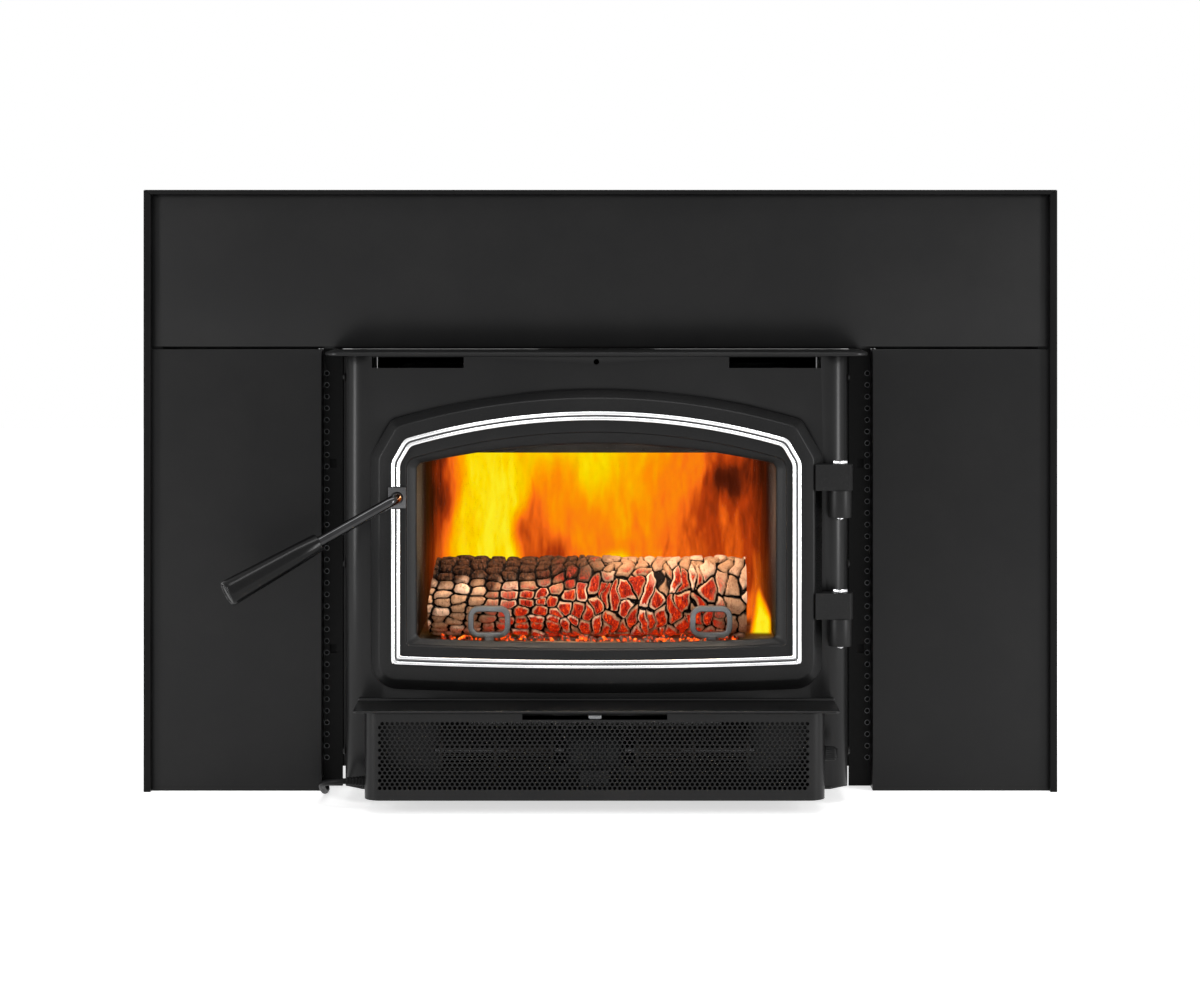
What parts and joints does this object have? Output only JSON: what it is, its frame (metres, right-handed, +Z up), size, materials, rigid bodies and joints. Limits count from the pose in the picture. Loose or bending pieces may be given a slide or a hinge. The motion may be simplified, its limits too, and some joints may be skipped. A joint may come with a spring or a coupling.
{
  "type": "wood-burning fireplace insert",
  "caption": "Steel wood-burning fireplace insert with a surround, arched glass door, pivoting handle, brick firebox, air slide and blower.",
  "frame": {"origin": "centre of the insert's box at the level of the hearth it stands on, cord left out", "axes": "+X to the viewer's right facing the door, +Y into the fireplace, +Z up"},
  "size_m": [1.1176, 0.6166, 0.7366],
  "materials": {
    "satin_black": "high-temperature satin black paint on sheet steel",
    "cast_black": "painted cast iron, fine sand texture",
    "nickel": "polished nickel plate",
    "bright_steel": "polished bar steel, heat tinted at the bend",
    "dull_steel": "bare plate steel darkened by heat",
    "ceramic_glass": "clear ceramic glass",
    "seal_rope": "braided glass-fibre rope",
    "firebrick": "refractory brick, porous and smoke stained",
    "charred_wood": "burning log, charred and glowing in the cracks",
    "black_plastic": "heat-resistant moulded resin",
    "dark_grip": "smooth dark lacquered turned grip",
    "cord_jacket": "flexible cord jacket"
  },
  "bodies": {
    "insert": {"surround_top": "satin_black", "surround_left": "satin_black", "surround_right": "satin_black", "trim_left": "satin_black", "trim_right": "satin_black", "trim_top": "satin_black", "bracket_left": "satin_black", "bracket_right": "satin_black", "casing_front": "satin_black", "casing_left": "satin_black", "casing_right": "satin_black", "casing_back": "satin_black", "casing_top": "satin_black", "base_plate": "satin_black", "foot_left": "satin_black", "foot_right": "satin_black", "ash_lip": "satin_black", "blower_cover": "satin_black", "hinge_barrel_lower": "cast_black", "hinge_barrel_upper": "cast_black", "air_tube_front": "bright_steel", "air_tube_middle": "bright_steel", "air_tube_rear": "bright_steel", "firebox_left": "dull_steel", "firebox_right": "dull_steel", "firebox_floor": "dull_steel", "firebox_back": "dull_steel", "firebox_roof": "dull_steel", "flue_collar": "dull_steel", "air_wash_deflector": "dull_steel", "andiron_left": "dull_steel", "andiron_right": "dull_steel", "catch_plate": "dull_steel", "blower_motor": "dull_steel", "hearth_bricks": "firebrick", "back_bricks": "firebrick", "left_bricks": "firebrick", "right_bricks": "firebrick", "baffle_board": "firebrick", "firewood_log": "charred_wood", "power_plug": "black_plastic", "cord_gland": "cord_jacket", "power_cord_lead": "cord_jacket", "power_cord_coil": "cord_jacket"},
    "door": {"door_frame": "cast_black", "door_bead": "nickel", "glass_seal": "seal_rope", "door_glass": "ceramic_glass", "glass_clamp": "dull_steel", "door_seal": "seal_rope", "hinge_pin_upper": "bright_steel", "hinge_pin_lower": "bright_steel"},
    "handle": {"handle_rod": "bright_steel", "handle_grip": "dark_grip", "latch_cam": "dull_steel"},
    "air_control": {"air_slider": "bright_steel"},
    "blower_rotor": {"blower_shaft": "bright_steel", "blower_wheel_left": "dull_steel", "blower_wheel_right": "dull_steel"},
    "speed_control": {"speed_knob": "black_plastic"}
  },
  "joints": [
    {"name": "door_hinge", "type": "hinge", "parent": "insert", "child": "door", "pos_m": [0.2857, -0.18468, 0.3], "axis": [0, 0, 1], "range_deg": [0, 110]},
    {"name": "handle_pivot", "type": "hinge", "parent": "door", "child": "handle", "pos_m": [-0.2415, -0.19368, 0.3686], "axis": [0, 1, 0], "range_deg": [0, 60]},
    {"name": "air_slide", "type": "slide", "parent": "insert", "child": "air_control", "axis": [1, 0, 0], "range_m": [-0.075, 0.075]},
    {"name": "rotor_spin", "type": "hinge", "parent": "insert", "child": "blower_rotor", "pos_m": [-0.0068, -0.20168, 0.07], "axis": [1, 0, 0], "continuous": true},
    {"name": "speed_turn", "type": "hinge", "parent": "insert", "child": "speed_control", "pos_m": [0.27, -0.20368, 0.066], "axis": [1, 0, 0], "range_deg": [0, 270]}
  ]
}
